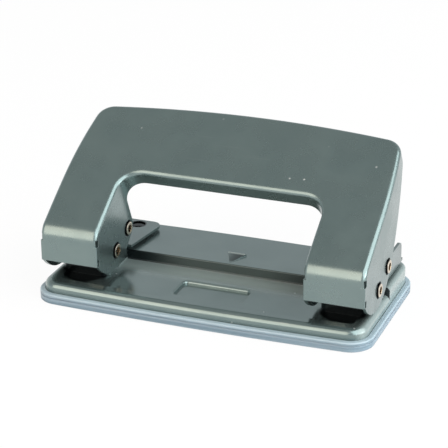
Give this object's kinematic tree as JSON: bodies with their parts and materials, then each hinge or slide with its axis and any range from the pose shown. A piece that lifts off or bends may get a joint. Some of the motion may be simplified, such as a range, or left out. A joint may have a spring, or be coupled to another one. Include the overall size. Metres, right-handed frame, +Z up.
{
  "type": "paper hole punch",
  "caption": "Desk paper punch: a folded painted steel lever with a wide window turns on riveted pins and drives guided punches through a pressed base plate into a pull-off plastic chip tray.",
  "frame": {"origin": "middle of the chip tray's underside, on the surface the punch stands on", "axes": "+X along the base through both punches, +Y to the rear where the paper goes in, +Z up"},
  "size_m": [0.1014, 0.0514, 0.0475],
  "materials": {
    "lever_paint": "semi-gloss grey-green enamel",
    "base_paint": "semi-gloss grey-green enamel",
    "bracket_paint": "semi-gloss grey-green enamel, thinner than on the lever",
    "tray_plastic": "pale bluish-white moulded plastic, slightly translucent",
    "pin_nickel": "warm nickel plate, riveted ends",
    "rivet_steel": "zinc plate",
    "punch_steel": "ground hardened steel",
    "bush_steel": "turned steel",
    "spring_wire": "drawn spring wire"
  },
  "bodies": {
    "base": {"base_plate": "base_paint", "bracket_left": "bracket_paint", "bracket_right": "bracket_paint", "bracket_rivets_left": "rivet_steel", "bracket_rivets_right": "rivet_steel", "pivot_pin_left": "pin_nickel", "pivot_pin_right": "pin_nickel", "die_ring_left": "punch_steel", "die_ring_right": "punch_steel", "guide_bush_left": "bush_steel", "guide_bush_right": "bush_steel", "return_spring_left": "spring_wire", "return_spring_right": "spring_wire"},
    "lever": {"lever": "lever_paint", "drive_pin_left": "pin_nickel", "drive_pin_right": "pin_nickel"},
    "punch_left": {"punch_left": "punch_steel"},
    "punch_right": {"punch_right": "punch_steel"},
    "chip_tray": {"chip_tray": "tray_plastic"}
  },
  "joints": [
    {"name": "lever_press", "type": "hinge", "parent": "base", "child": "lever", "pos_m": [0, -0.008, 0.01205], "axis": [-1, 0, 0], "range_deg": [0, 15.5], "stiffness_Nm_per_rad": 0.4, "springref_deg": -20.05, "deforming": ["return_spring_left", "return_spring_right"]},
    {"name": "punch_left_slide", "type": "slide", "parent": "base", "child": "punch_left", "axis": [0, 0, -1], "range_m": [0, 0.00244]},
    {"name": "punch_right_slide", "type": "slide", "parent": "base", "child": "punch_right", "axis": [0, 0, -1], "range_m": [0, 0.00244]},
    {"name": "tray_pull", "type": "slide", "parent": "base", "child": "chip_tray", "axis": [0, 0, -1], "range_m": [0, 0.012]}
  ],
  "couplings": [
    {"joint": "punch_left_slide", "follows": "lever_press", "m_per_rad": 0.008986},
    {"joint": "punch_right_slide", "follows": "lever_press", "m_per_rad": 0.008986}
  ]
}
